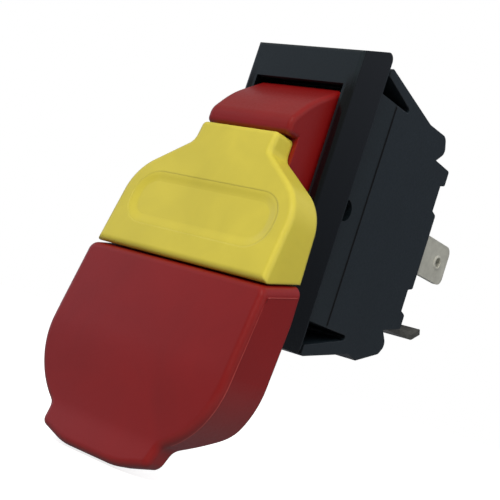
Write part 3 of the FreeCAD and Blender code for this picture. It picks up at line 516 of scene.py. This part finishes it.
def rounded_corner(before, corner, after, radius, steps):
    """Points of the arc that rounds a corner of a flat outline."""
    back = (Vector(before) - Vector(corner)).normalized()
    ahead = (Vector(after) - Vector(corner)).normalized()
    half = back.angle(ahead) / 2
    middle = Vector(corner) + (back + ahead).normalized() * (radius / math.sin(half))
    start = Vector(corner) + back * (radius / math.tan(half)) - middle
    end = Vector(corner) + ahead * (radius / math.tan(half)) - middle
    sweep = start.angle_signed(end)
    points = []
    for step in range(steps + 1):
        turn = -sweep * step / steps
        points.append(middle + Vector((
            start.x * math.cos(turn) - start.y * math.sin(turn),
            start.x * math.sin(turn) + start.y * math.cos(turn),
        )))
    return points


def soft_step(value, start, end):
    """A soft step from 0 at start to 1 at end."""
    share = min(max((value - start) / (end - start), 0.0), 1.0)
    return share * share * (3 - 2 * share)


def slice_between(corners, axis, low, high):
    """The part of a flat polygon between two levels along an axis. A corner is its place and its normal."""
    for side, level in ((1, low), (-1, high)):
        kept = []
        for n, here in enumerate(corners):
            before = corners[n - 1]
            was = side * (before[0][axis] - level)
            now = side * (here[0][axis] - level)
            if was * now < 0:
                kept.append([a.lerp(b, was / (was - now)) for a, b in zip(before, here)])
            if now >= 0:
                kept.append(here)
        corners = kept
    return corners


def turned_normal(place, normal, move):
    """The normal of a surface after its points have been moved, from two short steps along it."""
    first = normal.orthogonal().normalized() * SHORT_STEP
    second = normal.cross(first)
    here = move(place)
    return (move(place + first) - here).cross(move(place + second) - here).normalized()


def reshaped(name, node_name, axis, levels, move, material, body):
    """Stands for a node: its faces are cut at the levels along an axis, and its points moved by move()."""
    mesh = frame["nodes"][node_name].data
    levels = [-FAR] + levels + [FAR]
    spots = {}
    faces = []
    normals = []
    for polygon in mesh.polygons:
        corners = [
            [mesh.vertices[mesh.loops[i].vertex_index].co / MM, mesh.corner_normals[i].vector.copy()]
            for i in polygon.loop_indices
        ]
        for low, high in zip(levels, levels[1:]):
            face = []
            turned = []
            for place, normal in slice_between(corners, axis, low, high):
                moved = tuple(round(c, POINT_DECIMALS) for c in move(place))
                spot = spots.setdefault(moved, len(spots))
                if spot not in face:
                    face.append(spot)
                    turned.append(turned_normal(place, normal, move))
            if len(face) > 2:
                faces.append(face)
                normals += turned
    copy = piece(name, list(spots), faces, material, body)
    copy.data.normals_split_custom_set(normals)
    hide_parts(node_name)


def curl_face(place):
    """Moves a point of the rocker with the curl of the paddle's face, which fades out behind the face."""
    face = JOINT_REACH - (place.z + JOINT_HEIGHT) * PADDLE_LEAN - EDGE_ROUND
    share = min(max((-place.y - CURL_BACK) / (face - CURL_BACK), 0.0), 1.0)
    forward = CURL_TILT * max(FACE_TOP - place.z, 0.0)
    forward -= CURL_DIP * soft_step(place.z, CURL_TOP, CURL_FOOT)
    forward += LIP_RISE * soft_step(place.z, LIP_TOP, LIP_FOOT)
    return place - Vector((0, forward * share, 0))


def curled_rocker(finish):
    """The rocker with the gentle curl of its paddle: crowned above, dished over the tongue, lip forward."""
    levels = [FACE_TOP - step for step in range(CURL_CUTS, -1, -1)]
    red = finish["red_plastic"]
    reshaped("curled_rocker", "rocker", UP_AXIS, levels, curl_face, red, "rocker")


def key_dish(finish):
    """The soft rim that lets the key's oval panel sink gently into its face."""
    lean = (JOINT_REACH - KEY_TOP_REACH) / (JOINT_HEIGHT + KEY_TOP_HEIGHT)
    along = Vector((0, lean, 1)).normalized()
    inward = Vector((0, 1, -lean)).normalized()
    middle = Vector((0, -KEY_TOP_REACH - (KEY_TOP_HEIGHT + PANEL_DROP) * lean, -PANEL_DROP))
    loops = []
    for step in range(RIM_STEPS + 1):
        inset = RIM_WIDTH * step / RIM_STEPS
        across = PANEL_WIDTH / 2 - inset
        high = PANEL_HEIGHT / 2 - inset
        corners = [(across, -high), (across, high), (-across, high), (-across, -high)]
        radius = PANEL_ROUND - inset
        loop = []
        for n, corner in enumerate(corners):
            after = corners[(n + 1) % len(corners)]
            loop += rounded_corner(corners[n - 1], corner, after, radius, PANEL_CORNER_STEPS)
        depth = PANEL_DEPTH * soft_step(inset, 0.0, RIM_WIDTH) - RIM_LIFT
        loops.append([middle + Vector((q.x, 0, 0)) + along * q.y + inward * depth for q in loop])
    points = [loop[n] for n in range(len(loops[0])) for loop in loops]
    faces = strip_faces(len(loops[0]), len(loops), True)
    piece("key_dish_rim", points, faces, finish["yellow_plastic"], "key", (0, -1, 0))


def paddle_flash(finish):
    """The fine line that the mould's parting left on the paddle's sides, just behind its rounded edge."""
    flare = (PADDLE_WIDTH - PADDLE_TOP_WIDTH) / (SHOULDER_HEIGHT - JOINT_HEIGHT) / 2
    slope = math.tan(math.radians(JOINT_ANGLE))
    top_start = PADDLE_BACK + FLASH_END_GAP
    top_run = JOINT_REACH - EDGE_ROUND - top_start
    shoulder = rounded_corner(
        (PADDLE_TOP_WIDTH / 2, -JOINT_HEIGHT),
        (PADDLE_WIDTH / 2, -SHOULDER_HEIGHT),
        (TONGUE_NOTCH_WIDTH / 2, -TONGUE_NOTCH_HEIGHT),
        PADDLE_ROUND,
        SHOULDER_STEPS,
    )
    path = []
    for step in range(FLASH_STEPS):
        reach = top_start + top_run * step / (FLASH_STEPS - 1)
        height = JOINT_HEIGHT + TOP_ROUND - (JOINT_REACH - reach) * slope
        across = PADDLE_TOP_WIDTH / 2 + (height - JOINT_HEIGHT) * flare
        path.append((across, -reach, -height, (0, 0, 1)))
    for across, height in [(PADDLE_TOP_WIDTH / 2, FLASH_SIDE_TOP)] + [tuple(q) for q in shoulder]:
        depth = -JOINT_REACH - (-height - JOINT_HEIGHT) * PADDLE_LEAN + EDGE_ROUND
        path.append((across, depth, height, (0, 1, 0)))
    out = Vector((FLASH_HEIGHT, 0, 0))
    rows = []
    for across, depth, height, way in path:
        ridge = Vector((across, depth, height))
        half = Vector(way) * FLASH_WIDTH / 2
        rows.append([curl_face(q) for q in (ridge - half - out, ridge + out, ridge + half - out)])
    faces = strip_faces(len(rows), len(rows[0]), False)
    for name, side in (("left", -1), ("right", 1)):
        points = [(q.x * side, q.y, q.z) for row in rows for q in row]
        # Drawn in pale red, partly a painted highlight along the paddle's edge.
        piece(f"paddle_flash_{name}", points, faces, finish["flash"], "rocker", (side, 0, 0))


def painted_seam_shadow(finish):
    """Painted shadow: near-black strips along the hairline where the bezel's skirt meets the base, for the
    shade in it.
    """
    half = SEAM_WIDTH / 2
    hollow = (
        (SKIRT_SIDE, SKIRT_BACK - half),
        (SKIRT_SIDE - SEAM_SINK, SKIRT_BACK),
        (SKIRT_SIDE, SKIRT_BACK + half),
    )
    faces = strip_faces(SEAM_STEPS, len(hollow), False)
    for name, side in (("left", -1), ("right", 1)):
        points = []
        for step in range(SEAM_STEPS):
            height = SEAM_FOOT + SEAM_LENGTH * step / (SEAM_STEPS - 1)
            for across, depth in hollow:
                points.append((across * side, depth, height))
        piece(f"painted_seam_shadow_{name}", points, faces, finish["seam"], "housing", (side, 0, 0))


def ring_mark(name, centre, facing, profile, filled, finish, slot, body):
    """A round mark on a face, with the profile turned round its centre."""
    turn = Vector((0, 0, 1)).rotation_difference(Vector(facing)).to_matrix()
    points = []
    for step in range(RING_STEPS):
        angle = 2 * math.pi * step / RING_STEPS
        for reach, height in profile:
            spot = Vector((math.cos(angle) * reach, math.sin(angle) * reach, height))
            points.append(Vector(centre) + turn @ spot)
    faces = strip_faces(RING_STEPS, len(profile), True)
    if filled:
        faces.append([step * len(profile) for step in range(RING_STEPS)][::-1])
    piece(name, points, faces, finish[slot], body, facing)


def ejector_marks(finish):
    """The shallow round prints that ejector pins left on the hidden sides of the mouldings."""
    back = (0, 1, 0)
    pin = [(reach * PADDLE_PIN, height) for reach, height in EJECTOR_PROFILE]
    for name, across, height in PADDLE_PIN_PLACES:
        place = (across, PADDLE_FLOOR, height)
        ring_mark(f"paddle_ejector_{name}", place, back, pin, True, finish, "red_plastic", "rocker")
    pin = [(reach * BASE_PIN, height) for reach, height in EJECTOR_PROFILE]
    for name, height in BASE_PIN_HEIGHTS:
        place = (0.0, BASE_BACK, height)
        ring_mark(f"base_ejector_{name}", place, back, pin, True, finish, "black_nylon", "housing")


def tab_hole_lips(finish):
    """The raised lip that the punch left round the hole on the outer face of each upright tab."""
    for name, side in (("left", -1), ("right", 1)):
        lip = f"tab_hole_lip_{name}"
        place = (TAB_FACE * side, TAB_HOLE_REACH, TAB_HOLE_HEIGHT)
        ring_mark(lip, place, (side, 0, 0), TAB_LIP_PROFILE, False, finish, "tinned_brass", "housing")


def plunger_coils():
    """The coils behind the two plungers: copies of the springs' meshes that ride on the rocker in their
    place.
    """
    for name in ("left", "right"):
        node = frame["nodes"][f"plunger_spring_{name}"]
        coil = bpy.data.objects.new(f"plunger_coil_{name}", node.data.copy())
        bpy.context.scene.collection.objects.link(coil)
        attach(coil, "rocker")
        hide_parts(f"plunger_spring_{name}")
        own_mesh(coil)


def white_floor(low):
    """A plain floor just under the paddle's tip: burnt out to white to the eye, grey to the part."""
    # White paper sweep: matt and evenly pale, with a faint cool sheen in the part's gloss.
    material, tree = new_material("white_paper_sweep")
    paper = add(
        tree,
        "ShaderNodeBsdfPrincipled",
        {
            "Base Color": linear("#F2F2F0"),
            "Roughness": 0.9,
            "Emission Color": linear("#FFFFFF"),
            "Emission Strength": FLOOR_GLOW,
        },
    ).outputs["BSDF"]
    grey = add(tree, "ShaderNodeBsdfDiffuse", {"Color": linear("#989898")}).outputs["BSDF"]
    path = add(tree, "ShaderNodeLightPath").outputs
    glossy = path["Is Glossy Ray"]
    sheen = add(tree, "ShaderNodeMath", {0: glossy, 1: FLOOR_SHEEN}, operation="MULTIPLY").outputs["Value"]
    cool = add(tree, "ShaderNodeEmission", {"Color": linear(DAYLIGHT), "Strength": sheen}).outputs["Emission"]
    lit = add(tree, "ShaderNodeAddShader", {0: grey, 1: cool}).outputs["Shader"]
    mix = add(tree, "ShaderNodeMixShader", {0: path["Is Camera Ray"], 1: lit, 2: paper})
    add(tree, "ShaderNodeOutputMaterial", {"Surface": mix.outputs["Shader"]})
    side = FLOOR_HALF
    mesh = bpy.data.meshes.new("white_floor")
    corners = [(-side, -side, low), (side, -side, low), (side, side, low), (-side, side, low)]
    mesh.from_pydata(corners, [], [(0, 1, 2, 3)])
    mesh.materials.append(material)
    floor = bpy.data.objects.new("white_floor", mesh)
    bpy.context.scene.collection.objects.link(floor)


def white_room():
    """A pale room, plain white to look at.

    In the gloss and in the light it is dim low down, with a slightly brighter and cooler far wall, and a
    cool window to the left.
    """
    world = bpy.data.worlds.new("white_room")
    bpy.context.scene.world = world
    world.use_nodes = True
    tree = world.node_tree
    tree.nodes.clear()
    way = add(tree, "ShaderNodeTexCoord").outputs["Generated"]
    parts = add(tree, "ShaderNodeSeparateXYZ", {"Vector": way}).outputs
    glow = add(
        tree,
        "ShaderNodeMapRange",
        {
            "Value": parts["Z"],
            "From Min": 0.0,
            "From Max": ROOM_TOP,
            "To Min": ROOM_DIM,
            "To Max": ROOM_BRIGHT,
        },
        interpolation_type="SMOOTHSTEP",
    ).outputs["Result"]
    backward = add(
        tree,
        "ShaderNodeMapRange",
        {"Value": parts["Y"], "From Min": FAR_WALL_START, "From Max": FAR_WALL_FULL},
    ).outputs["Result"]
    strength = add(
        tree,
        "ShaderNodeMath",
        {0: backward, 1: FAR_WALL_GLOW, 2: glow},
        operation="MULTIPLY_ADD",
    ).outputs["Value"]
    tone = add(
        tree,
        "ShaderNodeMix",
        {MIX_SHARE: backward, MIX_FIRST: linear("#FFFDFA"), MIX_SECOND: linear("#E4ECFF")},
        data_type="RGBA",
    ).outputs[MIX_RESULT]
    leftward = add(
        tree,
        "ShaderNodeVectorMath",
        {0: way, 1: Vector(WINDOW_WAY)},
        operation="DOT_PRODUCT",
    ).outputs["Value"]
    window = add(
        tree,
        "ShaderNodeMapRange",
        {"Value": leftward, "From Min": WINDOW_EDGE, "From Max": WINDOW_FULL, "To Max": WINDOW_GLOW},
        interpolation_type="SMOOTHSTEP",
    ).outputs["Result"]
    walls, daylight, seen = (
        add(tree, "ShaderNodeBackground", {"Color": colour, "Strength": amount}).outputs["Background"]
        for colour, amount in ((tone, strength), (linear(DAYLIGHT), window), (linear("#FFFFFF"), 1.0))
    )
    room = add(tree, "ShaderNodeAddShader", {0: walls, 1: daylight}).outputs["Shader"]
    looked_at = add(tree, "ShaderNodeLightPath").outputs["Is Camera Ray"]
    mix = add(tree, "ShaderNodeMixShader", {0: looked_at, 1: room, 2: seen})
    add(tree, "ShaderNodeOutputWorld", {"Surface": mix.outputs["Shader"]})


def softbox(name, place, size, watts, colour):
    """A round soft light, so well diffused that it shows no shape of its own in the gloss."""
    light = bpy.data.lights.new(name, "AREA")
    light.shape = "DISK"
    light.size = size
    light.energy = watts
    light.color = linear(colour)[:3]
    lamp = bpy.data.objects.new(name, light)
    lamp.location = place
    lamp.visible_glossy = False
    lamp.rotation_euler = (Vector(LIGHT_AIM) - Vector(place)).to_track_quat("-Z", "Y").to_euler()
    bpy.context.scene.collection.objects.link(lamp)


def studio_lights():
    """The main light from high over the camera, and a broad one from the right."""
    softbox("softbox_high_over_camera", (0.102, -0.240, 0.186), size=0.20, watts=0.865, colour="#FFFDF8")
    softbox("softbox_right", (0.45, 0.05, 0.20), size=0.45, watts=0.76, colour="#FFFFFF")


def photo_camera():
    """The camera that took the photograph, sharp all through."""
    data = bpy.data.cameras.new("photo_camera")
    data.lens = CAMERA_LENS
    data.sensor_width = SENSOR_WIDTH
    data.clip_start = CLIP_START
    data.clip_end = CLIP_END
    data.dof.use_dof = False
    camera = bpy.data.objects.new("photo_camera", data)
    turn = Vector(CAMERA_LOOK).to_track_quat("-Z", "Y").to_matrix().to_4x4()
    roll = Matrix.Rotation(math.radians(CAMERA_ROLL), 4, "Z")
    camera.matrix_world = Matrix.Translation(Vector(CAMERA_PLACE) * MM) @ turn @ roll
    bpy.context.scene.collection.objects.link(camera)
    bpy.context.scene.camera = camera


finish = finishes()
dress_nodes(finish)
curled_rocker(finish)
key_dish(finish)
paddle_flash(finish)
painted_seam_shadow(finish)
ejector_marks(finish)
tab_hole_lips(finish)
plunger_coils()
white_floor(cad_box[0].z - FLOOR_GAP * MM)
white_room()
studio_lights()
photo_camera()
bpy.context.scene.view_settings.view_transform = "Standard"
